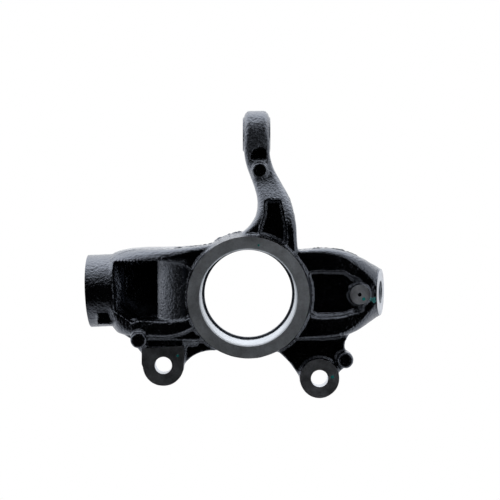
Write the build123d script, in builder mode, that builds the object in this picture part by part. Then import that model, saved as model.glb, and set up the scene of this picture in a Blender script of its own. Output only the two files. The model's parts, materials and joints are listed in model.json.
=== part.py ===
from build123d import *
import math
import os

# Front steering knuckle: one ductile-iron casting with machined seats, in millimetres.
# Frame: the origin is the wheel centre, half way along the hub bore.
#   +Z runs up to the strut clamp, -Z down to the ball joint.
#   -Y is outboard, toward the brake disc, and +Y is inboard.
#   +X is the side of the steering arm, -X the side of the two caliper ears.

# Hub and wheel-bearing seat
bearing_r = 41.0          # press seat of an 82 mm bearing
hub_length = 44.0
ring_wall = 11.3          # machined ring outside the bearing seat
lip_length = 4.0          # inboard stop for the bearing
lip_height = 2.2
barrel_wall = 14.8        # cast barrel at the parting line
ring_height = 8.0         # the ring stands this far out of the casting
ring_draft = 0.7          # the ring's flank widens this much toward the casting
barrel_draft = 2.5        # the barrel narrows this much toward its inboard end
parting_y = 4.0           # the casting is widest here

# Strut clamp
strut_r = 25.0
clamp_wall = 7.2
clamp_length = 25.0
clamp_edge = 2.5          # rounding of the collar's top
clamp_top = 140.8         # along Z, on the clamp's own axis
clamp_x = 1.8
clamp_y = 25.0
clamp_lean_x = -2.6       # degrees, toward the caliper side going up
clamp_lean_y = 1.2        # degrees, inboard going up
strut_room = 19.0         # the strut's bore runs on this far below the clamp
strut_over = 5.0          # and its cut starts this far above the clamp's top face
slit_width = 4.0
slit_depth = 16.0
pinch_hole_r = 6.25
pinch_reach = 16.0        # bolt axis beyond the clamp's outer wall
pinch_lug_r = 12.0
pinch_lug_width = 40.0
square_pad = 12.0         # datum pad below the collar
square_pad_off = 21.3     # its middle lies this far to the caliper side of the clamp's axis
square_pad_sunk = 4.2     # and its face this far behind the collar's front
square_pad_drop = 15.2    # and its middle this far below the collar's top

# Neck between the hub and the clamp, with the pocket under the strut
neck_front = -14.0        # outboard face beside the ring
neck_root = 24.0          # the neck starts inside the hub
neck_overlap = 4.0        # and ends this far inside the clamp
pocket_half = 29.5
pocket_floor_wall = 6.4
pocket_overlap = 1.5      # the pocket breaks this far into the clamp's foot
saddle_r = 20.0
saddle_drop = 2.5         # the saddle's crest lies below the neck's face
saddle_land = 3.2         # flat of the crest before it rounds down
groove_depth = 3.0        # groove between the saddle and the ring
groove_width = 4.5

# Steering arm and tie-rod eye
eye_x = 141.4
eye_y = 35.0
eye_z = -7.3
eye_r = 21.0
eye_width = 21.6
eye_chamfer = 3.0
eye_boss_r = 14.5
eye_boss_height = 1.4
tie_rod_r = 7.0           # large end of the taper
tie_rod_taper = 1 / 10
arm_pocket_floor = 3.0    # cored pocket at the arm's root
arm_pocket_gap = 2.0      # wall left between the pocket and the ring

# Ball-joint arm
joint_z = -116.0
joint_x = 2.2
joint_y = 8.0
joint_tilt = 15.0         # degrees, the face looks down and outboard
joint_boss_r = 20.4
joint_r = 10.0            # large end of the stud taper
joint_taper = 1 / 10
joint_boss_depth = 5.0
joint_land = 1.5          # the machined face stands this far out of the casting
joint_cheek = 0.8         # the casting is this much fuller than the boss
joint_front = -10.0       # outboard face of the arm
panel_depth = 5.0         # sunk panel in the outboard face
panel_over = 2.0          # its cut starts this far above the face
panel_gap = 2.0           # wall left between the panel and the ring
panel_draft = 34.0
panel_top = 22.0          # half-widths on the arm's side and on the caliper side
panel_bottom = -21.0
panel_end = -101.0
joint_seat = 28.0         # boss length from the face to the nut
nut_room_width = 36.0
nut_room_height = 48.0
nut_room_length = 24.0
nut_room_corner = 8.0
nut_room_shift = -6.0     # toward the outboard side of the joint's axis

# Caliper ears
ear_hole_r = 7.5
ear_face = -2.0
ear_thickness = 14.0
left_ear_x = -61.1
left_ear_z = 74.1
left_ear_r = 18.0
right_ear_x = -72.6
right_ear_z = -62.2
right_ear_r = 17.3
web_step = 4.0            # webs lie this far behind the ears' faces
ledge_front = -4.5        # ledge between the left web and the neck
ledge_side = -40.0
ledge_root = -20.0
ledge_low = 30.0
ledge_high = 90.0
ledge_edge = 3.0

# Hardness-test spot on the ball-joint arm
spot_x = 1.6
spot_y = -11.4
spot_z = -96.0
spot_r = 8.6
spot_tilt = 6.0
spot_height = 6.0
dimple_ball_r = 3.0
dimple_depth = 0.9

# Half-round recess in the steering arm
recess_r = 8.6
recess_floor = 20.0
recess_z = -10.7
recess_length = 20.0
recess_near = 2.2         # straight side toward the wheel
recess_low = 5.2          # straight side toward the ball joint

# Casting datum pads
pad_r = 7.2
pad_edge = 1.8

# Cutters
cut_over = 10.0           # they run on this far past the faces they open
cut_front = 40.0          # and start this far outboard of the wheel centre

ring_r = bearing_r + ring_wall
barrel_r = bearing_r + barrel_wall
hub_front = -hub_length / 2
hub_back = hub_length / 2
shoulder_y = hub_front + ring_height
spot_plane = Plane(
    origin=(spot_x, spot_y, spot_z), x_dir=(1, 0, 0),
    z_dir=(0, -math.cos(math.radians(spot_tilt)), -math.sin(math.radians(spot_tilt))),
)
clamp_r = strut_r + clamp_wall


def mix(a, b, t):
    return a + (b - a) * t


def section(plane, low, high, front, back, low_corner, high_corner):
    """A rectangle from low to high in X and front to back in Y, rounded more on one side."""
    with BuildSketch(plane) as sketch:
        with Locations(((low + high) / 2, (front + back) / 2)):
            Rectangle(high - low, back - front)
        fillet(sketch.vertices().group_by(Axis.X)[0], low_corner)
        fillet(sketch.vertices().group_by(Axis.X)[-1], high_corner)
    return sketch.sketch


# --- hub: barrel, proud ring and parting line, turned about the wheel axis
with BuildPart() as hub:
    with BuildSketch(Plane.XY):
        Polygon(
            (0, hub_front), (ring_r, hub_front), (ring_r + ring_draft, shoulder_y),
            (barrel_r, parting_y), (barrel_r - barrel_draft, hub_back), (0, hub_back),
            align=None,
        )
    revolve(axis=Axis.Y)

# --- neck: from the hub's flank to the round clamp, one smooth loft
clamp_dir = Vector(math.tan(math.radians(clamp_lean_x)), math.tan(math.radians(clamp_lean_y)), 1)
clamp_axis = clamp_dir.normalized()
clamp_end = Vector(clamp_x, clamp_y, clamp_top)
clamp_plane = Plane(origin=clamp_end, x_dir=(1, 0, 0), z_dir=clamp_axis)
clamp_foot = clamp_top - clamp_length
clamp_front = clamp_y - clamp_r
clamp_back = clamp_y + clamp_r

neck_length = clamp_foot + neck_overlap - neck_root
neck_stations = (
    # share of the way, caliper side, arm side, front, back, corner radii on the two sides
    (0.0, -12.0, 48.6, neck_front, hub_back - 2, 3.0, 4.0),
    (0.17, -23.5, 43.6, neck_front, hub_back, 2.5, 4.5),
    (0.33, -31.5, 41.9, neck_front, mix(hub_back, clamp_back, 0.45), 2.5, 6.0),
    (0.50, -35.4, 40.7, neck_front + 1, mix(hub_back, clamp_back, 0.85), 2.5, 9.0),
    (0.69, -35.2, 40.4, mix(neck_front, clamp_front, 0.45), clamp_back, 4.0, 14.0),
    (0.84, -34.6, 39.6, mix(neck_front, clamp_front, 0.8), clamp_back, 7.0, 19.0),
    (1.0, clamp_x - clamp_r + 1.5, clamp_x + clamp_r + 2.0, clamp_front + 0.8,
     clamp_back + 1.0, 26.0, 28.0),
)
with BuildPart() as neck:
    for share, low, high, front, back, low_corner, high_corner in neck_stations:
        station = Plane.XY.offset(neck_root + share * neck_length)
        add(section(station, low, high, front, back, low_corner, high_corner))
    loft()

# the pocket under the strut: a straight-sided opening whose far end is a rounded saddle
pocket_end = clamp_foot + pocket_overlap
pocket_floor = clamp_back - pocket_floor_wall
crest_y = neck_front + saddle_drop
groove_z = ring_r + groove_width
crest_z = groove_z + saddle_land
pocket_start = crest_z + saddle_r
with BuildPart() as saddle:
    with BuildSketch(Plane.YZ):
        with BuildLine():
            Polyline(
                (crest_y + saddle_r, pocket_start), (pocket_floor + 2 * saddle_r, pocket_start),
                (pocket_floor + 2 * saddle_r, 0), (crest_y + groove_depth, 0),
                (crest_y + groove_depth, groove_z - groove_width), (crest_y, groove_z),
                (crest_y, crest_z),
            )
            RadiusArc((crest_y, crest_z), (crest_y + saddle_r, pocket_start), saddle_r)
        make_face()
    extrude(amount=2 * pocket_half, both=True)

with BuildPart() as pocket:
    with BuildSketch(Plane.XZ.offset(-neck_front + saddle_r)):
        with BuildLine():
            Polyline(
                (-18.0, ring_r - 6), (-18.6, ring_r), (-24.5, pocket_start - 12), (-22.5, pocket_start - 2),
                (-26.0, pocket_start + 10), (-25.0, pocket_end - 19), (-12.0, pocket_end),
                (pocket_half, pocket_end), (pocket_half + 1.0, pocket_start + 2),
            )
            ThreePointArc(
                (pocket_half + 1.0, pocket_start + 2), (pocket_half + 1.4, pocket_start - 10),
                (22.5, ring_r - 4),
            )
            Line((22.5, ring_r - 4), (-18.0, ring_r - 6))
        make_face()
    extrude(amount=-(pocket_floor - neck_front + saddle_r))
    add(saddle, mode=Mode.SUBTRACT)

# --- strut clamp: collar, square datum pad, and the pinch lugs on the inboard side
with BuildPart() as clamp:
    with BuildSketch(clamp_plane):
        Circle(clamp_r)
    extrude(amount=-clamp_length)
    fillet(clamp.edges().sort_by(Axis.Z)[-1], clamp_edge)
pinch_y = clamp_back + pinch_reach
pinch_z = clamp_top - clamp_length / 2
lug_reach = pinch_reach + pinch_lug_r
with BuildPart() as lugs:
    with BuildSketch(Plane.YZ.offset(clamp_x)):
        with Locations((pinch_y, pinch_z)):
            Circle(pinch_lug_r)
        with Locations(((clamp_y + pinch_y) / 2, pinch_z)):
            Rectangle(pinch_y - clamp_y, 2 * pinch_lug_r)
    extrude(amount=pinch_lug_width / 2, both=True)
square_pad_face = clamp_front + square_pad_sunk
with BuildPart() as collar_pad:
    with Locations((clamp_x - square_pad_off, (square_pad_face + clamp_y) / 2, clamp_top - square_pad_drop)):
        Box(square_pad, clamp_y - square_pad_face, square_pad)

# --- steering arm: lofted from the hub to the eye, with a cored pocket at its root
arm_stations = (
    # share of the way to the eye, middle in Z, width, front, back, corner
    (-0.20, -15.0, 57.0, -12.0, 20.0, 4.0),
    (-0.04, -16.6, 50.8, -12.0, 20.0, 4.0),
    (0.09, -22.3, 38.0, -11.0, 22.0, 5.0),
    (0.27, -23.1, 30.0, -4.0, 27.0, 6.0),
    (0.47, -17.6, 25.8, 8.0, 37.0, 6.0),
    (0.67, -10.0, 23.0, 13.6, 47.0, 5.0),
    (0.84, eye_z - 0.2, eye_width + 1.2, 14.2, 53.5, 4.0),
    (0.98, eye_z, eye_width, eye_y - eye_r, eye_y + eye_r, 3.5),
)
arm_length = eye_x - barrel_r
with BuildPart() as steering_arm:
    for share, middle, width, front, back, corner in arm_stations:
        station = Plane.YZ.offset(barrel_r + share * arm_length)
        with BuildSketch(station):
            with Locations(((front + back) / 2, middle)):
                RectangleRounded(back - front, width, corner)
    loft()

with BuildPart() as eye:
    with BuildSketch(Plane.XY.offset(eye_z)):
        with Locations((eye_x, eye_y)):
            Circle(eye_r)
    extrude(amount=eye_width / 2, both=True)
    chamfer(eye.edges().filter_by(GeomType.CIRCLE), eye_chamfer)
    with BuildSketch(Plane.XY.offset(eye_z)):
        with Locations((eye_x, eye_y)):
            Circle(eye_boss_r)
    extrude(amount=eye_width / 2 + eye_boss_height, both=True)

with BuildPart() as arm_pocket:
    with BuildSketch(Plane.XZ.offset(cut_front)):
        with BuildLine():
            Polyline((83.0, -14.4), (83.0, -28.6), (72.8, -30.8), (57.4, -33.3), (40.0, -32.4),
                     (40.0, -9.3), (55.5, -9.3), (70.2, -13.5), close=True)
        make_face()
    extrude(amount=-cut_front - arm_pocket_floor)
    with BuildSketch(Plane.XZ.offset(cut_front + cut_over)):
        Circle(ring_r + arm_pocket_gap)
    extrude(amount=-cut_front - 2 * cut_over, mode=Mode.SUBTRACT)

# --- ball-joint arm
joint_dir = Vector(0, -math.sin(math.radians(joint_tilt)), -math.cos(math.radians(joint_tilt)))
joint_face = Vector(joint_x, joint_y, joint_z)
joint_plane = Plane(origin=joint_face, x_dir=(1, 0, 0), z_dir=joint_dir)
joint_stations = (
    # z, caliper side, arm side, front, back, corner radii on the two sides
    (-30.0, -38.0, 41.2, -10.0, 21.0, 3.0, 3.5),
    (-60.0, -37.2, 41.0, -10.0, 22.0, 3.5, 4.5),
    (-80.0, -35.6, 39.5, -9.8, 24.0, 5.0, 7.0),
    (-94.0, -31.2, 34.9, -9.4, 26.5, 9.0, 11.0),
    (-104.0, -25.6, 29.8, -9.6, 28.0, 15.0, 16.0),
)
with BuildPart() as joint_arm:
    for z, low, high, front, back, low_corner, high_corner in joint_stations:
        add(section(Plane.XY.offset(z), low, high, front, back, low_corner, high_corner))
    joint_side = 2 * (joint_boss_r + joint_cheek)
    with BuildSketch(joint_plane.offset(-joint_land)):
        RectangleRounded(joint_side, joint_side, joint_boss_r - joint_cheek / 2)
    loft()
with BuildPart() as joint_boss:
    with BuildSketch(joint_plane):
        Circle(joint_boss_r)
    extrude(amount=-joint_boss_depth)

# the sunk panel between the ring and the hardness-test spot
panel_near = ring_r + panel_gap
with BuildPart() as panel:
    with BuildSketch(Plane.XZ.offset(panel_over - joint_front)):
        with BuildLine():
            Polyline(
                (panel_top, 2.1 - panel_near), (panel_top + 0.8, -78.0), (16.5, panel_end + 2),
                (-14.5, panel_end - 1), (panel_bottom + 0.6, -78.0), (panel_bottom, 2.1 - panel_near),
            )
            ThreePointArc(
                (panel_bottom, 2.1 - panel_near), (0, -panel_near - panel_gap), (panel_top, 2.1 - panel_near),
            )
        make_face()
    extrude(amount=-panel_depth - panel_over, taper=panel_draft)

# --- webs and caliper ears
web_front = ear_face + web_step
web_back = ear_face + ear_thickness
with BuildPart() as left_web:
    with BuildSketch(Plane.XZ.offset(-web_back)):
        with BuildLine():
            Polyline((-44.0, 25.0), (-20.0, 25.0), (-20.0, 112.0), (-30.5, 115.0), (-39.5, 101.5),
                     (-46.0, 97.5), (-53.0, left_ear_z + left_ear_r), (left_ear_x, left_ear_z + left_ear_r))
            ThreePointArc((left_ear_x, left_ear_z + left_ear_r), (left_ear_x - left_ear_r, left_ear_z),
                          (left_ear_x, left_ear_z - left_ear_r))
            ThreePointArc((left_ear_x, left_ear_z - left_ear_r), (-50.6, 42.2), (-48.8, 29.1))
            Line((-48.8, 29.1), (-44.0, 25.0))
        make_face()
    extrude(amount=web_back - web_front)
with BuildPart() as left_ledge:
    with BuildSketch(Plane.XZ.offset(-web_back)):
        Polygon(
            (ledge_side, ledge_low), (ledge_root, ledge_low),
            (ledge_root, ledge_high), (ledge_side, ledge_high),
            align=None,
        )
    extrude(amount=web_back - ledge_front)
    fillet(left_ledge.edges().filter_by(Axis.Z).group_by(Axis.Y)[0].sort_by(Axis.X)[0], ledge_edge)
with BuildPart() as left_ear:
    with BuildSketch(Plane.XZ.offset(-web_back)):
        with BuildLine():
            Polyline((left_ear_x, left_ear_z + left_ear_r), (-45.5, left_ear_z + left_ear_r + 1),
                     (-43.5, left_ear_z - left_ear_r), (left_ear_x, left_ear_z - left_ear_r))
            ThreePointArc((left_ear_x, left_ear_z - left_ear_r), (left_ear_x - left_ear_r, left_ear_z),
                          (left_ear_x, left_ear_z + left_ear_r))
        make_face()
    extrude(amount=ear_thickness)

with BuildPart() as right_web:
    with BuildSketch(Plane.XZ.offset(-web_back)):
        with BuildLine():
            Line((-30.0, -22.0), (-48.8, -24.5))
            ThreePointArc((-48.8, -24.5), (-58.4, -35.2), (right_ear_x, right_ear_z + right_ear_r))
            Polyline(
                (right_ear_x, right_ear_z + right_ear_r), (right_ear_x, right_ear_z - 12.0), (-64.5, -83.5),
                (-60.0, -88.0), (-56.0, -89.0), (-50.5, -86.5), (-46.0, -84.3), (-41.5, -84.7),
                (-37.0, -86.8), (-33.0, -89.5), (-30.0, -91.0), (-30.0, -22.0),
            )
        make_face()
    extrude(amount=web_back - web_front)
with BuildPart() as right_ear:
    with BuildSketch(Plane.XZ.offset(-web_back)):
        with Locations((right_ear_x, right_ear_z)):
            Circle(right_ear_r)
    extrude(amount=ear_thickness)

# --- inboard cavity that makes room for the ball-joint nut
with BuildPart() as nut_room:
    with BuildSketch(joint_plane.offset(-joint_seat)):
        with Locations((0, nut_room_shift)):
            RectangleRounded(nut_room_width, nut_room_height, nut_room_corner)
    extrude(amount=-nut_room_length)

# --- round datum pads, one on each wing of the casting
pads = (
    # x, z, face, foot
    (-37.6, 94.8, -15.0, web_back),
    (108.8, -10.0, 8.5, 30.0),
    (-56.4, -84.7, -4.5, web_back),
)


def datum_pad(x, z, face, foot):
    """A short pin with a flat outboard end and a rounded edge."""
    with BuildPart() as pin:
        with BuildSketch(Plane.XZ.offset(-foot)):
            with Locations((x, z)):
                Circle(pad_r)
        extrude(amount=foot - face)
        fillet(pin.edges().sort_by(Axis.Y)[0], pad_edge)
    return pin.part


# --- the casting and its machining
with BuildPart() as knuckle:
    add(hub)
    add(neck)
    add(pocket, mode=Mode.SUBTRACT)
    add(hub)
    add(clamp)
    add(lugs)
    add(collar_pad)
    add(steering_arm)
    add(arm_pocket, mode=Mode.SUBTRACT)
    add(eye)
    add(joint_arm)
    add(panel, mode=Mode.SUBTRACT)
    add(joint_boss)
    add(left_web)
    add(left_ledge)
    add(left_ear)
    add(right_web)
    add(right_ear)
    for place in pads:
        add(datum_pad(*place))
    # hardness-test spot on the ball-joint arm: a milled flat with the ball's dimple
    with BuildSketch(spot_plane):
        Circle(spot_r)
    extrude(amount=-spot_height)
    with Locations(Location(spot_plane.origin + spot_plane.z_dir * (dimple_ball_r - dimple_depth))):
        Sphere(dimple_ball_r, mode=Mode.SUBTRACT)
    # half-round recess below the eye
    with BuildSketch(Plane.XZ.offset(-recess_floor)):
        with Locations((eye_x - eye_r, recess_z)):
            Circle(recess_r)
        with Locations((eye_x - eye_r - recess_r / 2 - recess_near, recess_z)):
            Rectangle(recess_r, 3 * recess_r, mode=Mode.SUBTRACT)
        with Locations((eye_x - eye_r, recess_z - recess_r - recess_low)):
            Rectangle(2 * recess_r, 2 * recess_r, mode=Mode.SUBTRACT)
    extrude(amount=recess_length, mode=Mode.SUBTRACT)
    add(nut_room, mode=Mode.SUBTRACT)
    # bearing seat with its stop at the inboard end
    with BuildSketch(Plane.XZ.offset(-hub_back + lip_length)):
        Circle(bearing_r)
    extrude(amount=hub_length, mode=Mode.SUBTRACT)
    with BuildSketch(Plane.XZ.offset(-hub_back)):
        Circle(bearing_r - lip_height)
    extrude(amount=hub_length, both=True, mode=Mode.SUBTRACT)
    # strut bore, slit and pinch bolt
    with BuildSketch(clamp_plane.offset(strut_over)):
        Circle(strut_r)
    extrude(amount=-strut_over - clamp_length - strut_room, mode=Mode.SUBTRACT)
    with Locations((clamp_x, clamp_back + lug_reach, pinch_z)):
        Box(slit_width, 2 * lug_reach, clamp_length + cut_over, mode=Mode.SUBTRACT)
    with Locations((clamp_x, clamp_back - clamp_wall, clamp_top)):
        Box(slit_width, 2 * clamp_wall + slit_width, 2 * slit_depth, mode=Mode.SUBTRACT)
    with BuildSketch(Plane.YZ.offset(clamp_x)):
        with Locations((pinch_y, pinch_z)):
            Circle(pinch_hole_r)
    extrude(amount=pinch_lug_width, both=True, mode=Mode.SUBTRACT)
    # tapers of the tie-rod end and the ball joint
    eye_half = eye_width / 2 + eye_boss_height
    with BuildSketch(Plane.XY.offset(eye_z - eye_half)):
        with Locations((eye_x, eye_y)):
            Circle(tie_rod_r)
    with BuildSketch(Plane.XY.offset(eye_z + eye_half)):
        with Locations((eye_x, eye_y)):
            Circle(tie_rod_r - eye_half * tie_rod_taper)
    loft(mode=Mode.SUBTRACT)
    with BuildSketch(joint_plane):
        Circle(joint_r)
    with BuildSketch(joint_plane.offset(-joint_seat - 1)):
        Circle(joint_r - (joint_seat + 1) * joint_taper / 2)
    loft(mode=Mode.SUBTRACT)
    # caliper bolt holes
    with BuildSketch(Plane.XZ.offset(-ear_face + cut_over)):
        with Locations((left_ear_x, left_ear_z), (right_ear_x, right_ear_z)):
            Circle(ear_hole_r)
    extrude(amount=-ear_thickness - 2 * cut_over, mode=Mode.SUBTRACT)

knuckle.part.label = "knuckle"
os.makedirs("parts", exist_ok=True)
export_step(knuckle.part, "parts/knuckle.step")
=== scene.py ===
"""Looks of the steering knuckle: a sand-cast, black-coated casting with bare machined seats."""

import json
import math

import bmesh
import bpy
from mathutils import Matrix, Vector, noise
from mathutils.bvhtree import BVHTree

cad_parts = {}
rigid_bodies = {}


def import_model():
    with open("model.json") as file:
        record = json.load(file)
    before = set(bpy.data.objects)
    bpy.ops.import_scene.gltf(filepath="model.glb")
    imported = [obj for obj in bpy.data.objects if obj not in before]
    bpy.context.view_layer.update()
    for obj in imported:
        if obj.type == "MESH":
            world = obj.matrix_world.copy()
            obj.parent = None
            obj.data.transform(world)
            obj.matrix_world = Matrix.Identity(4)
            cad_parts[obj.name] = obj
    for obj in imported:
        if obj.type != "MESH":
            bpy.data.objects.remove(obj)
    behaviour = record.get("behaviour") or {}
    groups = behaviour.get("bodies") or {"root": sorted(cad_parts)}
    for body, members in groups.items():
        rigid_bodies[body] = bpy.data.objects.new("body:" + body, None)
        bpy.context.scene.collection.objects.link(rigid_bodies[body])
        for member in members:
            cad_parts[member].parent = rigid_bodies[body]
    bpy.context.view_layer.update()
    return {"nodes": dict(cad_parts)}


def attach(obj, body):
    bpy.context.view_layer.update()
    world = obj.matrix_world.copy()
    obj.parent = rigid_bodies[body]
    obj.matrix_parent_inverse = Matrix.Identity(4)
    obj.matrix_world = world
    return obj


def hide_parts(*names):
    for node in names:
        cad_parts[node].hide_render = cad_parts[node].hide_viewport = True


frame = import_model()

MM = 0.001

# Machined seats, in millimetres, in the casting's frame: -Y is outboard, +Z up, +X the arm's side
RING_FACE = -22.0
RING_R = 52.3
BORE_R = 41.0
LIP_R = 38.8
BORE_STOP = 18.0
HUB_BACK = 22.0
BORE_LEAD = 1.0
EAR_FACE = -2.0
EAR_HOLE_R = 7.5
LEFT_EAR = (-61.1, 74.1)
LEFT_EAR_R = 18.0
RIGHT_EAR = (-72.6, -62.2)
RIGHT_EAR_R = 17.3
CLAMP_X = 1.8
CLAMP_Y = 25.0
CLAMP_TOP = 140.8
CLAMP_END = Vector((CLAMP_X, CLAMP_Y, CLAMP_TOP))
CLAMP_LEAN_X = -2.6
CLAMP_LEAN_Y = 1.2
CLAMP_R = 32.2
CLAMP_DEPTH = 18.0        # bare wall of the strut's bore
STRUT_R = 25.0
SLIT = 4.0
SLIT_DEPTH = 16.0
PINCH_Y = 73.2
PINCH_Z = 128.3
PINCH = Vector((CLAMP_X, PINCH_Y, PINCH_Z))
PINCH_R = 6.25
PINCH_LUG_R = 12.0
PINCH_HALF = 20.0
EYE = Vector((141.4, 35.0, -7.3))
EYE_HALF = 12.2
EYE_BOSS_R = 14.5
TIE_ROD_R = 7.0
TIE_ROD_TAPER = 0.1
JOINT_FACE = Vector((2.2, 8.0, -116.0))
JOINT_TILT = 15.0
JOINT_BOSS_R = 20.4
JOINT_R = 10.0
JOINT_TAPER = 0.1
JOINT_SEAT = 28.0
SPOT = Vector((1.6, -11.4, -96.0))
SPOT_TILT = 6.0
SPOT_R = 8.6
SPOT_EDGE = 0.4           # the mill runs this far past the spot
DIMPLE_DEPTH = 2.6
DIMPLE_TIP = 0.8
DIMPLE_MOUTH = 2.7
DIMPLE_OVER = 3.0         # the dimple's mouth is measured this far above the spot
RECESS = (119.4, -10.7)
RECESS_R = 8.9
RECESS_FLOOR = 20.2
RECESS_FRONT = 4.0
RECESS_SQUARE = [(126.5, -15.6), (119.2, -15.6), (119.2, -1.8)]

CENTRE = Vector((0, 0, 0))
STOCK = 3.0               # extra metal that the machining takes off
CLEAR = 12.0              # cutters stand this far out of the metal
VOXEL = 1.25
CAST_SMOOTHING = 0.5
CAST_PASSES = 3
ASKEW = (("Y", 31), ("X", 23), ("Z", 17))
SEGMENTS = 160
CREASE = 32               # degrees, sharper edges stay sharp
WELD = 1e-6


# ---------------------------------------------------------------- small tools

def frame_at(origin, axis):
    """A matrix at origin whose Z runs along axis, in millimetres."""
    turn = Vector(axis).normalized().to_track_quat("Z", "Y").to_matrix().to_4x4()
    return Matrix.Translation(Vector(origin)) @ turn


def new_object(name, bm):
    mesh = bpy.data.meshes.new(name)
    bmesh.ops.recalc_face_normals(bm, faces=bm.faces)
    bm.to_mesh(mesh)
    bm.free()
    obj = bpy.data.objects.new(name, mesh)
    bpy.context.scene.collection.objects.link(obj)
    return obj


def cone(bm, origin, axis, start, end, r_start, r_end=None):
    """A closed cone or cylinder along axis from start to end, in millimetres."""
    place = frame_at(origin, axis) @ Matrix.Translation((0, 0, (start + end) / 2))
    bmesh.ops.create_cone(
        bm, cap_ends=True, cap_tris=False, segments=SEGMENTS,
        radius1=r_start, radius2=r_start if r_end is None else r_end, depth=end - start, matrix=place,
    )


def box(bm, low, high):
    """A closed box between two corners, in millimetres."""
    size = [high[i] - low[i] for i in range(3)]
    middle = [(high[i] + low[i]) / 2 for i in range(3)]
    bmesh.ops.create_cube(bm, size=1, matrix=Matrix.Translation(middle) @ Matrix.Diagonal((*size, 1)))


def closed(bm, first, second):
    """Closes a solid between two outlines with as many points each."""
    ends = [[bm.verts.new(point) for point in outline] for outline in (first, second)]
    bm.faces.new(ends[0])
    bm.faces.new(list(reversed(ends[1])))
    count = len(ends[0])
    for i in range(count):
        j = (i + 1) % count
        bm.faces.new((ends[0][i], ends[1][i], ends[1][j], ends[0][j]))


def prism(bm, outline, front, back):
    """A closed prism between two Y planes, from an outline in X and Z."""
    closed(bm, *([(x, y, z) for x, z in outline] for y in (front, back)))


def arc(centre, radius, angles):
    """Points on a circle in X and Z, at angles in degrees from +Z toward +X."""
    turns = [math.radians(angle) for angle in angles]
    return [(centre[0] + radius * math.sin(turn), centre[1] + radius * math.cos(turn)) for turn in turns]


def scaled(bm):
    """The mesh in metres."""
    bmesh.ops.scale(bm, vec=(MM, MM, MM), verts=bm.verts)
    return bm


def applied(obj, name):
    """The object's mesh with its modifiers applied, as a new object."""
    graph = bpy.context.evaluated_depsgraph_get()
    mesh = bpy.data.meshes.new_from_object(obj.evaluated_get(graph), depsgraph=graph)
    result = bpy.data.objects.new(name, mesh)
    bpy.context.scene.collection.objects.link(result)
    mesh.name = name
    return result


def drop(*objects):
    for obj in objects:
        bpy.data.objects.remove(obj, do_unlink=True)


# ---------------------------------------------------------------- materials

class Nodes:
    """A node tree, with short calls to add and join nodes."""

    def __init__(self, tree):
        self.tree = tree

    def add(self, kind, inputs=(), **props):
        node = self.tree.nodes.new(kind)
        for key, value in props.items():
            setattr(node, key, value)
        for key, value in dict(inputs).items():
            if isinstance(value, bpy.types.NodeSocket):
                self.tree.links.new(value, node.inputs[key])
            else:
                node.inputs[key].default_value = value
        return node

    def math(self, operation, a, b=0.0):
        return self.add("ShaderNodeMath", {0: a, 1: b}, operation=operation).outputs[0]

    def span(self, value, low, high, to_low=0.0, to_high=1.0):
        return self.add("ShaderNodeMapRange", {
            "Value": value, "From Min": low, "From Max": high, "To Min": to_low, "To Max": to_high,
        }).outputs["Result"]

    def mix(self, share, a, b):
        return self.add("ShaderNodeMix", {0: share, 6: a, 7: b}, data_type="RGBA").outputs[2]

    def axes(self, vector):
        """The three parts of a vector."""
        parts = self.add("ShaderNodeSeparateXYZ", {"Vector": vector}).outputs
        return parts["X"], parts["Y"], parts["Z"]


class Skin(Nodes):
    """A material's nodes, placed in the piece's own frame."""

    def __init__(self, name):
        self.material = bpy.data.materials.new(name)
        self.material.use_nodes = True
        super().__init__(self.material.node_tree)
        self.shader = self.tree.nodes["Principled BSDF"]
        self.place = self.add("ShaderNodeTexCoord").outputs["Object"]

    def noise(self, scale, detail=3.0, rough=0.5):
        return self.add("ShaderNodeTexNoise", {
            "Vector": self.place, "Scale": scale, "Detail": detail, "Roughness": rough,
        }).outputs["Fac"]

    def bump(self, height, strength, distance):
        inputs = {"Height": height, "Strength": strength, "Distance": distance}
        return self.add("ShaderNodeBump", inputs).outputs["Normal"]

    def link(self, socket, name):
        self.tree.links.new(socket, self.shader.inputs[name])


# dabs of inspection paint on the outboard side: x, z and radius in millimetres
DABS = (
    (-2.2, -99.6, 1.4), (-2.4, -106.0, 1.3), (-4.0, -108.6, 1.6), (-1.6, -108.4, 1.2),
    (-52.6, 61.6, 1.1), (-71.3, -73.4, 1.4), (44.8, -8.8, 0.9),
)
DAB_BACK = 4.0            # no dab lies further inboard than this
DAB_WANDER = 3.0
TEAL = (0.01, 0.24, 0.22, 1)

# where the coat's skin is duller or smoother, in metres: each pair runs from none to full
EYE_ALONG = (0.110, 0.124)
EYE_BACK = (0.0175, 0.0165)
EYE_FRONT = (0.0105, 0.0125)
SADDLE_NEAR = (0.050, 0.055)
SADDLE_FAR = (0.084, 0.080)
SADDLE_MIDDLE = 0.0055
SADDLE_SIDE = (0.0285, 0.0245)
SADDLE_BACK = (0.006, 0.0)
SADDLE_DULL = 0.9
POCKET_FRONT = (0.006, 0.012)
POCKET_NEAR = (0.058, 0.064)
POCKET_SIDE = (0.026, 0.022)
POCKET_FAR = (0.114, 0.108)
OUTBOARD = (-0.965, -0.995)

# how high the skin's grain stands, in metres, and what changes it
GRAIN = 0.00052
DULL_GRAIN = 0.5
OUTBOARD_GRAIN = 0.38
POCKET_GRAIN = 0.35

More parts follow.
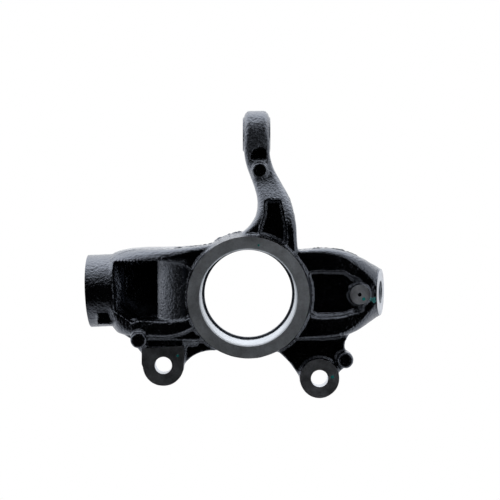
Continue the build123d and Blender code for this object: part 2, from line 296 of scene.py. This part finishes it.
COAT_DARK = (0.0016, 0.0017, 0.0020, 1)
COAT_PALE = (0.0032, 0.0032, 0.0036, 1)
COAT_TINT = (0.89, 0.96, 1.10, 1)
COAT_IOR = 2.0
COAT_GLOSS = (0.10, 0.16)
DULL_GLOSS = 0.22
TURNED_DARK = (0.48, 0.50, 0.52, 1)
TURNED_PALE = (0.70, 0.73, 0.76, 1)
TURNED_GLOSS = (0.42, 0.52)
TURNED_RINGS = 14000.0    # radians of the tool's marks per metre
MILLED_DARK = (0.40, 0.41, 0.43, 1)
MILLED_PALE = (0.64, 0.66, 0.69, 1)
MILLED_GLOSS = (0.32, 0.42)


def dab_mask(n):
    """1 on the dabs of paint, whose edges wander, and 0 elsewhere."""
    across, depth, up = n.axes(n.place)
    wander = n.math("MULTIPLY", n.math("SUBTRACT", n.noise(900, 2.0, 0.6), 0.5), DAB_WANDER * MM)
    flat = n.add("ShaderNodeCombineXYZ", {"X": n.math("ADD", across, wander), "Z": up}).outputs[0]
    mask = None
    for x, z, radius in DABS:
        away = n.add("ShaderNodeVectorMath", {0: flat, 1: (x * MM, 0, z * MM)}, operation="DISTANCE")
        inside = n.math("LESS_THAN", away.outputs["Value"], radius * MM)
        mask = inside if mask is None else n.math("MAXIMUM", mask, inside)
    return n.math("MULTIPLY", mask, n.math("LESS_THAN", depth, DAB_BACK * MM))


def coat_material():
    """Thin black electro-coat over the pebbled skin of a sand casting."""
    n = Skin("black_coat_on_cast_skin")
    x, y, z = n.axes(n.place)
    # the skin is duller on the eye's face and on the saddle
    eye_depth = n.math("MULTIPLY", n.span(y, *EYE_BACK), n.span(y, *EYE_FRONT))
    eye = n.math("MULTIPLY", n.span(x, *EYE_ALONG), eye_depth)
    along = n.math("MULTIPLY", n.span(z, *SADDLE_NEAR), n.span(z, *SADDLE_FAR))
    side = n.math("ABSOLUTE", n.math("SUBTRACT", x, SADDLE_MIDDLE))
    across = n.math("MULTIPLY", n.span(side, *SADDLE_SIDE), n.span(y, *SADDLE_BACK))
    dull = n.math("MAXIMUM", eye, n.math("MULTIPLY", n.math("MULTIPLY", along, across), SADDLE_DULL))
    # grain of three sizes
    coarse = n.math("MULTIPLY", n.noise(200, 3.0, 0.55), 0.5)
    pebble = n.noise(500, 2.0, 0.5)
    fine = n.math("MULTIPLY", n.noise(1300, 2.0, 0.6), 0.3)
    height = n.math("ADD", coarse, n.math("ADD", n.math("MULTIPLY", pebble, 1.4), fine))
    # and smoother on flats that face outboard and inside the strut pocket
    facing = n.axes(n.add("ShaderNodeTexCoord").outputs["Normal"])[1]
    flat = n.math("MULTIPLY", n.span(facing, *OUTBOARD), n.math("SUBTRACT", 1.0, dull))
    deep = n.math("MULTIPLY", n.span(y, *POCKET_FRONT), n.span(z, *POCKET_NEAR))
    inner = n.math("MULTIPLY", n.span(n.math("ABSOLUTE", x), *POCKET_SIDE), n.span(z, *POCKET_FAR))
    deep = n.math("MULTIPLY", deep, inner)
    relief = n.math("ADD", n.math("MULTIPLY", dull, DULL_GRAIN), 1.0)
    relief = n.math("SUBTRACT", relief, n.math("MULTIPLY", flat, OUTBOARD_GRAIN))
    relief = n.math("MULTIPLY", relief, n.span(deep, 0.0, 1.0, 1.0, POCKET_GRAIN))
    n.link(n.bump(n.math("MULTIPLY", height, relief), 1.0, GRAIN), "Normal")
    cloud = n.noise(28, 3.0, 0.6)
    dab = dab_mask(n)
    black = n.mix(n.span(cloud, 0.35, 0.7), COAT_DARK, COAT_PALE)
    n.link(n.mix(dab, black, TEAL), "Base Color")
    patches = n.math("ADD", n.math("MULTIPLY", cloud, 0.5), n.math("MULTIPLY", pebble, 0.5))
    duller = n.math("MULTIPLY", n.math("MAXIMUM", dull, dab), DULL_GLOSS)
    n.link(n.math("ADD", n.span(patches, 0.3, 0.7, *COAT_GLOSS), duller), "Roughness")
    n.shader.inputs["IOR"].default_value = COAT_IOR
    n.shader.inputs["Specular Tint"].default_value = COAT_TINT
    return n.material


def bare_metal(n, cloud_scale, dark, pale, gloss):
    """Links a stained bare metal with dabs of paint on it."""
    clouds = n.math("MULTIPLY", n.noise(cloud_scale, 3.0, 0.6), 0.6)
    stain = n.math("ADD", clouds, n.math("MULTIPLY", n.noise(700, 2.0, 0.6), 0.4))
    dab = dab_mask(n)
    metal = n.mix(n.span(stain, 0.35, 0.68), dark, pale)
    n.link(n.mix(dab, metal, TEAL), "Base Color")
    n.link(n.math("SUBTRACT", 1.0, dab), "Metallic")
    n.link(n.span(stain, 0.3, 0.7, *gloss), "Roughness")


def turned_material():
    """Bare turned iron: fine rings about the wheel axis."""
    n = Skin("turned_iron")
    x, y, z = n.axes(n.place)
    radius = n.math("SQRT", n.math("ADD", n.math("POWER", x, 2.0), n.math("POWER", z, 2.0)))
    wave = n.math("SINE", n.math("MULTIPLY", n.math("ADD", radius, y), TURNED_RINGS))
    n.link(n.bump(wave, 0.25, 0.00002), "Normal")
    bare_metal(n, 60, TURNED_DARK, TURNED_PALE, TURNED_GLOSS)
    tangent = n.add("ShaderNodeTangent", direction_type="RADIAL", axis="Y")
    n.link(tangent.outputs[0], "Tangent")
    n.shader.inputs["Anisotropic"].default_value = 0.6
    n.shader.inputs["Anisotropic Rotation"].default_value = 0.25
    return n.material


def milled_material():
    """Bare milled iron with a faint uneven stain."""
    n = Skin("milled_iron")
    n.link(n.bump(n.noise(1400, 2.0, 0.5), 0.35, 0.00006), "Normal")
    bare_metal(n, 90, MILLED_DARK, MILLED_PALE, MILLED_GLOSS)
    return n.material


COAT = coat_material()
TURNED = turned_material()
MILLED = milled_material()


# ---------------------------------------------------------------- the raw casting

clamp_lean = (math.tan(math.radians(CLAMP_LEAN_X)), math.tan(math.radians(CLAMP_LEAN_Y)), 1)
clamp_axis = Vector(clamp_lean).normalized()
joint_axis = Vector((0, -math.sin(math.radians(JOINT_TILT)), -math.cos(math.radians(JOINT_TILT))))
spot_axis = Vector((0, -math.cos(math.radians(SPOT_TILT)), -math.sin(math.radians(SPOT_TILT))))
hub_axis = Vector((0, 1, 0))
eye_axis = Vector((0, 0, 1))
pinch_axis = Vector((1, 0, 0))
left_ear = Vector((LEFT_EAR[0], 0, LEFT_EAR[1]))
right_ear = Vector((RIGHT_EAR[0], 0, RIGHT_EAR[1]))

bare = bmesh.new()
bare.from_mesh(frame["nodes"]["knuckle"].data)
bmesh.ops.remove_doubles(bare, verts=bare.verts, dist=WELD)
bare_part = new_object("bare_part", bare)

# the sunk panel's walls are steep, and its end by the hub follows the ring
PANEL_R = 55.0
PANEL_FRONT = -30.0
PANEL_FLOOR = -5.0
PANEL_SIDE = -16.6
PANEL_END = [(21.4, -54.0), (21.4, -83.0), (13.5, -93.0), (-12.0, -92.0), (PANEL_SIDE, -84.0)]
panel_start = [(x, z) for x, z in arc((0, 0), PANEL_R, range(196, 158, -3)) if x > PANEL_SIDE]
panel = bmesh.new()
prism(panel, panel_start + PANEL_END, PANEL_FRONT, PANEL_FLOOR)
panel_tool = new_object("panel_tool", scaled(panel))
carve = bare_part.modifiers.new("panel", "BOOLEAN")
carve.operation = "DIFFERENCE"
carve.solver = "EXACT"
carve.object = panel_tool
carved = applied(bare_part, "carved")
drop(bare_part, panel_tool)
raw = bmesh.new()
raw.from_mesh(carved.data)
drop(carved)

# extra metal where the casting is machined
EAR_STOCK = 4.0
EAR_BACK = 12.0
EAR_ROOT = -43.6
BORE_STOCK = 1.0
JOINT_STOCK = 1.5
JOINT_DEEP = -6.0
SPOT_DEEP = -5.0
LUG_FRONT = 50.0
LUG_BACK = 76.0
LUG_LOW = 12.0
LUG_HIGH = 11.8
stock = bmesh.new()
cone(stock, CENTRE, hub_axis, RING_FACE - STOCK, HUB_BACK, BORE_R + BORE_STOCK)
cone(stock, CENTRE, hub_axis, RING_FACE - STOCK, RING_FACE + EAR_STOCK, RING_R)
for ear, ear_r in ((left_ear, LEFT_EAR_R), (right_ear, RIGHT_EAR_R)):
    cone(stock, ear, hub_axis, EAR_FACE - STOCK, EAR_FACE + EAR_STOCK, ear_r)
    cone(stock, ear, hub_axis, 0, EAR_BACK, EAR_HOLE_R + BORE_STOCK)
box(stock, (LEFT_EAR[0], EAR_FACE - STOCK, LEFT_EAR[1] - LEFT_EAR_R),
    (EAR_ROOT, 8.0, LEFT_EAR[1] + LEFT_EAR_R + 1))
cone(stock, CLAMP_END, clamp_axis, -CLAMP_DEPTH + 1, STOCK, CLAMP_R)
cone(stock, PINCH, pinch_axis, -PINCH_HALF - STOCK, PINCH_HALF + STOCK, PINCH_LUG_R - 1)
cone(stock, EYE, eye_axis, -EYE_HALF - STOCK, EYE_HALF + STOCK, EYE_BOSS_R)
cone(stock, JOINT_FACE, joint_axis, -JOINT_SEAT, STOCK, JOINT_R + JOINT_STOCK)
cone(stock, JOINT_FACE, joint_axis, JOINT_DEEP, STOCK, JOINT_BOSS_R)
cone(stock, SPOT, spot_axis, SPOT_DEEP, STOCK - 1, SPOT_R)
box(stock, (CLAMP_X - SLIT, LUG_FRONT, PINCH_Z - LUG_LOW), (CLAMP_X + SLIT, LUG_BACK, PINCH_Z + LUG_HIGH))

# the neck's lower rail, level with its face
RAIL = (
    (-19.0, 52.0), (-20.3, 58.0), (-21.0, 64.0), (-21.3, 72.0), (-21.2, 80.0), (-20.9, 88.0),
    (-21.0, 96.0), (-23.0, 100.0), (-28.0, 100.0), (-28.0, 52.0),
)
RAIL_FACE = -13.6         # at RAIL_Z, and it falls back by RAIL_SLOPE along Z
RAIL_Z = 58.0
RAIL_SLOPE = 0.094
RAIL_BACK = 20.0
rail_front = [(x, RAIL_FACE + RAIL_SLOPE * (z - RAIL_Z), z) for x, z in RAIL]
closed(stock, rail_front, [(x, RAIL_BACK, z) for x, z in RAIL])

# the slope between the web and the left ear
SLOPE = ((-37.5, -4.3), (-44.2, 2.2), (-37.5, 6.0))
SLOPE_LOW = 46.0
SLOPE_HIGH = 91.0
closed(stock, *([(x, y, z) for x, y in SLOPE] for z in (SLOPE_LOW, SLOPE_HIGH)))

scaled(stock)
stock_mesh = bpy.data.meshes.new("stock")
bmesh.ops.recalc_face_normals(stock, faces=stock.faces)
stock.to_mesh(stock_mesh)
stock.free()
raw.from_mesh(stock_mesh)

# the casting lies askew to the voxels, so that its long edges come out straight
askew = Matrix.Identity(4)
for axis_name, angle in ASKEW:
    askew = askew @ Matrix.Rotation(math.radians(angle), 4, axis_name)
bmesh.ops.transform(raw, matrix=askew, verts=raw.verts)
blank = new_object("blank", raw)

remesh = blank.modifiers.new("skin", "REMESH")
remesh.mode = "VOXEL"
remesh.voxel_size = VOXEL * MM
smooth = blank.modifiers.new("cast_radii", "SMOOTH")
smooth.factor = CAST_SMOOTHING
smooth.iterations = CAST_PASSES
skin = applied(blank, "skin")
skin.data.transform(askew.inverted())
drop(blank)

# the sand's uneven surface
SWELL = 0.22 * MM
SWELL_LENGTH = 9 * MM
SWELL_MIDDLE = 0.35
normals = [vertex.normal.copy() for vertex in skin.data.vertices]
for vertex, normal in zip(skin.data.vertices, normals):
    vertex.co += normal * SWELL * (noise.noise(vertex.co / SWELL_LENGTH) - SWELL_MIDDLE)
skin.data.update()

# ---------------------------------------------------------------- flash along the mould's parting line

PARTING_Y = 6.0
FLASH_ROOT = 1.0          # the ribbon starts this deep in the metal
FLASH_BASE = 0.8
FLASH_TIP = 0.22
FLASH_STEP = 0.8
FLASH_QUIET = 0.25        # height where the line was fettled
FLASH_LOUD = 1.0625       # and where it was left ragged
QUIET_MIX = (0.2, 0.8, 0.5)    # even, rough and patchy shares of the height
LOUD_MIX = (0.35, 0.9, 0.9)
ROUGH_RATE = 0.30         # waves to a millimetre, along the line
PATCH_RATE = 0.09
WANDER_RATE = 0.06
WANDER = 0.7              # the line strays this far from its plane
FLASH_CLEAR = 1.0         # the flash ends this far from a machined end
SIDE_ON = 0.5             # no flash where the skin turns further toward the wheel axis
RAGGED = (
    # x from, x to, z from, z to
    (30.0, 60.0, 6.0, 66.0),
    (22.0, 50.0, -95.0, -56.0),
)


def parting_loop(obj, height):
    """The casting's outer contour at one Y, as an ordered list of points in millimetres."""
    bm = bmesh.new()
    bm.from_mesh(obj.data)
    everything = bm.verts[:] + bm.edges[:] + bm.faces[:]
    level = (0, height * MM, 0)
    cut = bmesh.ops.bisect_plane(bm, geom=everything, dist=1e-7, plane_co=level, plane_no=hub_axis)
    edges = [item for item in cut["geom_cut"] if isinstance(item, bmesh.types.BMEdge)]
    links = {}
    for edge in edges:
        first, second = edge.verts
        links.setdefault(first, []).append(second)
        links.setdefault(second, []).append(first)
    best = []
    unseen = set(links)
    while unseen:
        start = max(unseen, key=lambda vert: vert.co.x)
        loop = [start]
        unseen.discard(start)
        while True:
            onward = [vert for vert in links[loop[-1]] if vert in unseen]
            if not onward:
                break
            loop.append(onward[0])
            unseen.discard(onward[0])
        if len(loop) > len(best):
            best = loop
    points = [Vector((vert.co.x, vert.co.z)) / MM for vert in best]
    bm.free()
    return points


def resampled(points, step):
    """The closed loop again, at even steps."""
    result = []
    left = 0.0
    count = len(points)
    for i in range(count):
        start, end = points[i], points[(i + 1) % count]
        span = (end - start).length
        while left < span:
            result.append(start.lerp(end, left / span))
            left += step
        left -= span
    return result


skin_tree = BVHTree.FromPolygons([vertex.co for vertex in skin.data.vertices],
                                 [list(polygon.vertices) for polygon in skin.data.polygons])


def flash_height(point, along):
    """How far the flash stands out at a point of the contour, or None where there is none."""
    spot = Vector((point.x, PARTING_Y, point.y))
    normal = skin_tree.find_nearest(spot * MM)[1]
    on_eye = abs(point.y - EYE.z) > EYE_HALF and point.x > EYE.x - EYE_BOSS_R
    if abs(normal.y) > SIDE_ON or point.y > CLAMP_TOP - FLASH_CLEAR or on_eye:
        return None
    past_joint = (spot - JOINT_FACE).dot(joint_axis)
    past_clamp = (spot - CLAMP_END).dot(clamp_axis)
    if max(past_joint, past_clamp) > -FLASH_CLEAR:
        return None
    ragged = any(x0 < point.x < x1 and z0 < point.y < z1 for x0, x1, z0, z1 in RAGGED)
    rough = noise.fractal(Vector((along * ROUGH_RATE, point.x * 0.05, 0)), 0.7, 2.0, 2)
    patch = noise.noise(Vector((along * PATCH_RATE, 3.7, 0)))
    even, rough_share, patch_share = LOUD_MIX if ragged else QUIET_MIX
    height = FLASH_LOUD if ragged else FLASH_QUIET
    return max(0.0, even + rough_share * rough + patch_share * patch) * height


def flash_ribbon(points):
    """A thin ribbon round the contour, broken where the flash was machined away."""
    bm = bmesh.new()
    count = len(points)
    area = sum(points[i].cross(points[(i + 1) % count]) for i in range(count))
    side = 1 if area > 0 else -1
    last = None
    for i in range(count + 1):
        point = points[i % count]
        ahead = points[(i + 3) % count] - points[(i - 3) % count]
        outward = Vector((ahead.y, -ahead.x)).normalized() * side
        rise = flash_height(point, (i % count) * FLASH_STEP)
        ring = None
        if rise is not None:
            wander = PARTING_Y + WANDER * noise.noise(Vector(((i % count) * WANDER_RATE, 0, 9.1)))
            root = point - outward * FLASH_ROOT
            tip = point + outward * rise
            ring = [bm.verts.new(co) for co in (
                (root.x, wander - FLASH_BASE, root.y), (tip.x, wander - FLASH_TIP, tip.y),
                (tip.x, wander + FLASH_TIP, tip.y), (root.x, wander + FLASH_BASE, root.y),
            )]
            if last is None:
                bm.faces.new(ring)
            else:
                for j in range(4):
                    k = (j + 1) % 4
                    bm.faces.new((last[j], last[k], ring[k], ring[j]))
        elif last is not None:
            bm.faces.new(list(reversed(last)))
        last = ring
    if last is not None:
        bm.faces.new(list(reversed(last)))
    return new_object("casting_flash", scaled(bm))


flash = flash_ribbon(resampled(parting_loop(skin, PARTING_Y), FLASH_STEP))

# ---------------------------------------------------------------- machining

LEFT_EAR_FLAT = (
    (-44.9, 96.5), (-46.2, 93.9), (-43.6, 56.9), (-45.5, 53.0),
    (-63.0, 48.0), (-88.0, 60.0), (-88.0, 90.0), (-62.0, 99.0),
)
# how far the mills reach past the edges of the faces
PAST_RING = 8.0
PAST_EAR = 1.8
PAST_CLAMP = 4.0
PAST_LUG = 2.5
PAST_EYE = 3.0
PAST_JOINT = 6.0
SPOT_HIGH = 6.0
LEAD_OVER = 1.0
LIP_OVER = 5.0
SLIT_TOP = 20.0           # the slit's cutters end this far above the pinch bolt
SLIT_LOW = 17.5           # and the first starts this far below it
SLIT_START = 56.5         # in Y, from the collar's wall out past the lugs
SLIT_END = 95.0
SLIT_IN_BORE = 42.0       # in Y, from inside the strut's bore through the collar's wall
SLIT_LAP = 60.0
HOLE_END = 20.0           # the ears' holes are open by this Y
THROUGH = 40.0            # half-length of the pinch bolt's cutter
TAPER_OVER = 6.0          # tapers run on this far past their ends


def bore(bm, *sizes):
    """A bored hole, whose bottom is left with the coat that cutters carry second."""
    cone(bm, *sizes)
    for face in bm.faces:
        if face.calc_center_median().y > BORE_STOP - 0.5:
            face.material_index = 1


def taper(bm, origin, axis, start, end, mouth, radius, slope):
    """A tapered hole with this radius at its mouth."""
    cone(bm, origin, axis, start, end, *(radius + (at - mouth) * slope / 2 for at in (start, end)))


recess_outline = arc(RECESS, RECESS_R, range(0, 121, 8)) + RECESS_SQUARE
slit_low = CLAMP_X - SLIT / 2
slit_high = CLAMP_X + SLIT / 2
eye_over = EYE_HALF + TAPER_OVER

# each cutter's name, its own material, its shape and what the shape takes
CUTS = (
    ("cut_ring", TURNED, cone, CENTRE, hub_axis, RING_FACE - CLEAR, RING_FACE, RING_R + PAST_RING),
    ("cut_bore", TURNED, bore, CENTRE, hub_axis, RING_FACE - CLEAR, BORE_STOP, BORE_R),
    ("cut_lead", TURNED, cone, CENTRE, hub_axis, RING_FACE - LEAD_OVER, RING_FACE + BORE_LEAD,
     BORE_R + BORE_LEAD + LEAD_OVER, BORE_R),
    ("cut_lip", COAT, cone, CENTRE, hub_axis, BORE_STOP - LIP_OVER, HUB_BACK + CLEAR, LIP_R),
    ("cut_left_ear", MILLED, prism, LEFT_EAR_FLAT, EAR_FACE - CLEAR, EAR_FACE),
    ("cut_right_ear", MILLED, cone, right_ear, hub_axis, EAR_FACE - CLEAR, EAR_FACE, RIGHT_EAR_R + PAST_EAR),
    ("cut_left_hole", MILLED, cone, left_ear, hub_axis, EAR_FACE - CLEAR - 1, HOLE_END, EAR_HOLE_R),
    ("cut_right_hole", MILLED, cone, right_ear, hub_axis, EAR_FACE - CLEAR - 1, HOLE_END, EAR_HOLE_R),
    ("cut_clamp_end", MILLED, cone, CLAMP_END, clamp_axis, 0, CLEAR, CLAMP_R + PAST_CLAMP),
    ("cut_strut", MILLED, cone, CLAMP_END, clamp_axis, -CLAMP_DEPTH, CLEAR + 1, STRUT_R),
    ("cut_slit", MILLED, box, (slit_low, SLIT_START, PINCH_Z - SLIT_LOW),
     (slit_high, SLIT_END, PINCH_Z + SLIT_TOP)),
    ("cut_slit_top", MILLED, box, (slit_low, SLIT_IN_BORE, CLAMP_END.z - SLIT_DEPTH),
     (slit_high, SLIT_LAP, CLAMP_END.z + CLEAR)),
    ("cut_lug_low", MILLED, cone, PINCH, pinch_axis, -PINCH_HALF - CLEAR, -PINCH_HALF,
     PINCH_LUG_R + PAST_LUG),
    ("cut_lug_high", MILLED, cone, PINCH, pinch_axis, PINCH_HALF, PINCH_HALF + CLEAR,
     PINCH_LUG_R + PAST_LUG),
    ("cut_pinch", MILLED, cone, PINCH, pinch_axis, -THROUGH, THROUGH, PINCH_R),
    ("cut_eye_low", MILLED, cone, EYE, eye_axis, -EYE_HALF - CLEAR, -EYE_HALF, EYE_BOSS_R + PAST_EYE),
    ("cut_eye_high", MILLED, cone, EYE, eye_axis, EYE_HALF, EYE_HALF + CLEAR, EYE_BOSS_R + PAST_EYE),
    ("cut_tie_rod", MILLED, taper, EYE, eye_axis, -eye_over, eye_over, -EYE_HALF, TIE_ROD_R, -TIE_ROD_TAPER),
    ("cut_joint_face", MILLED, cone, JOINT_FACE, joint_axis, 0, CLEAR, JOINT_BOSS_R + PAST_JOINT),
    ("cut_joint", MILLED, taper, JOINT_FACE, joint_axis, -JOINT_SEAT - TAPER_OVER, TAPER_OVER, 0,
     JOINT_R, JOINT_TAPER),
    ("cut_recess", COAT, prism, recess_outline, RECESS_FRONT, RECESS_FLOOR),
    ("cut_spot", MILLED, cone, SPOT, spot_axis, 0, SPOT_HIGH, SPOT_R + SPOT_EDGE),
    # painted shade: the dimple's walls take the black coat, which stands in for the shade inside the pressed
    # pit in the bare spot
    ("cut_dimple", COAT, cone, SPOT, spot_axis, -DIMPLE_DEPTH, DIMPLE_OVER, DIMPLE_TIP, DIMPLE_MOUTH),
)
skin.data.materials.clear()
skin.data.materials.append(COAT)
tools = bpy.data.collections.new("tools")
bpy.context.scene.collection.children.link(tools)
for name, material, shape, *sizes in CUTS:
    tool_bm = bmesh.new()
    shape(tool_bm, *sizes)
    tool = new_object(name, scaled(tool_bm))
    tool.data.materials.append(material)
    tool.data.materials.append(COAT)
    bpy.context.scene.collection.objects.unlink(tool)
    tools.objects.link(tool)
machining = skin.modifiers.new("machining", "BOOLEAN")
machining.operation = "DIFFERENCE"
machining.operand_type = "COLLECTION"
machining.collection = tools
machining.solver = "EXACT"
machining.material_mode = "TRANSFER"
casting = applied(skin, "knuckle_casting")
drop(skin, *tools.objects)
bpy.data.collections.remove(tools)

welded = bmesh.new()
welded.from_mesh(casting.data)
bmesh.ops.remove_doubles(welded, verts=welded.verts, dist=WELD)
welded.to_mesh(casting.data)
welded.free()
casting.data.polygons.foreach_set("use_smooth", [True] * len(casting.data.polygons))
bpy.context.view_layer.objects.active = casting
casting.select_set(True)
bpy.ops.object.shade_smooth_by_angle(angle=math.radians(CREASE))

flash.data.materials.append(COAT)
flash.data.polygons.foreach_set("use_smooth", [True] * len(flash.data.polygons))
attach(flash, "root")
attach(casting, "root")
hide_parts("knuckle")

# ---------------------------------------------------------------- floor, light, camera

FLOOR_R = 0.33
FLOOR_Z = -0.3
FLOOR_FADE = (0.300, 0.440)    # metres from the wheel centre, where the floor turns white

floor_bm = bmesh.new()
floor_place = Matrix.Translation((0, 0, FLOOR_Z))
bmesh.ops.create_circle(floor_bm, cap_ends=True, segments=96, radius=FLOOR_R, matrix=floor_place)
floor = new_object("floor", floor_bm)
pale = Skin("pale_floor")
pale.shader.inputs["Base Color"].default_value = (0.8, 0.8, 0.8, 1)
pale.shader.inputs["Roughness"].default_value = 0.6
away = pale.add("ShaderNodeVectorMath", {0: pale.place}, operation="LENGTH").outputs["Value"]
white = pale.add("ShaderNodeEmission", {"Color": (1, 1, 1, 1), "Strength": 1.0}).outputs[0]
camera_ray = pale.add("ShaderNodeLightPath").outputs["Is Camera Ray"]
fade = pale.math("MULTIPLY", pale.span(away, *FLOOR_FADE), camera_ray)
blend = pale.add("ShaderNodeMixShader", {0: fade, 1: pale.shader.outputs[0], 2: white})
pale.tree.links.new(blend.outputs[0], pale.tree.nodes["Material Output"].inputs["Surface"])
floor.data.materials.append(pale.material)

# a light tent, open and dark toward -Y, where the picture is taken from
TENT_TOWARD = Vector((0.02, -1.0, 0)).normalized()
TENT_WALL = (-0.35, 0.78, 2.6, 0.0)    # from the lit wall to the dark opening, and their strengths
TENT_ABOVE = 0.02         # the opening is narrower toward +X and -X
TENT_BELOW = 0.35         # share of the light that comes from -X, the picture's lower side
TENT_OVER = 1.2           # and from +X
TENT_BACK = 0.55          # share of the light that comes from behind the casting
TENT_BACK_EDGE = -0.3
TENT_COLOUR = (0.97, 0.99, 1.03, 1)

world = bpy.data.worlds.new("light_tent")
bpy.context.scene.world = world
world.use_nodes = True
tent = Nodes(world.node_tree)
tent.tree.nodes.clear()
direction = tent.add("ShaderNodeTexCoord").outputs["Generated"]
toward = tent.add("ShaderNodeVectorMath", {0: direction, 1: TENT_TOWARD}, operation="DOT_PRODUCT")
toward = toward.outputs["Value"]
over = tent.axes(direction)[0]
opening = tent.math("SUBTRACT", toward, tent.math("MULTIPLY", tent.math("MULTIPLY", over, over), TENT_ABOVE))
wall = tent.span(opening, *TENT_WALL)
sides = tent.math("MULTIPLY", wall, tent.span(over, -1.0, 1.0, TENT_BELOW, TENT_OVER))
strength = tent.math("MULTIPLY", sides, tent.span(toward, -1.0, TENT_BACK_EDGE, TENT_BACK, 1.0))
lit = tent.add("ShaderNodeBackground", {"Color": TENT_COLOUR, "Strength": strength}).outputs[0]
seen = tent.add("ShaderNodeBackground", {"Color": (1, 1, 1, 1)}).outputs[0]
camera_ray = tent.add("ShaderNodeLightPath").outputs["Is Camera Ray"]
choose = tent.add("ShaderNodeMixShader", {0: camera_ray, 1: lit, 2: seen}).outputs[0]
tent.add("ShaderNodeOutputWorld", {"Surface": choose})

# the camera stands square to the wheel face, a little toward the arm's side
STAND = 1.040
SWING = math.radians(5.1)
TURN = math.radians(2.86)
SENSOR = 36.0
LENS = 87.7
SHIFT = 0.0034
eye_point = Vector((STAND * math.sin(SWING), RING_FACE * MM - STAND * math.cos(SWING), 0))
forward = Vector((-math.sin(TURN), math.cos(TURN), 0))
upward = Vector((math.cos(TURN), math.sin(TURN), 0))
rightward = forward.cross(upward)
camera_data = bpy.data.cameras.new("camera")
camera = bpy.data.objects.new("camera", camera_data)
bpy.context.scene.collection.objects.link(camera)
place = Matrix((rightward, upward, -forward)).transposed().to_4x4()
place.translation = eye_point
camera.matrix_world = place
camera_data.sensor_width = SENSOR
camera_data.lens = LENS
camera_data.shift_x = SHIFT
camera_data.clip_start = 0.01
camera_data.clip_end = 20.0
bpy.context.scene.camera = camera
bpy.context.scene.view_settings.view_transform = "Standard"
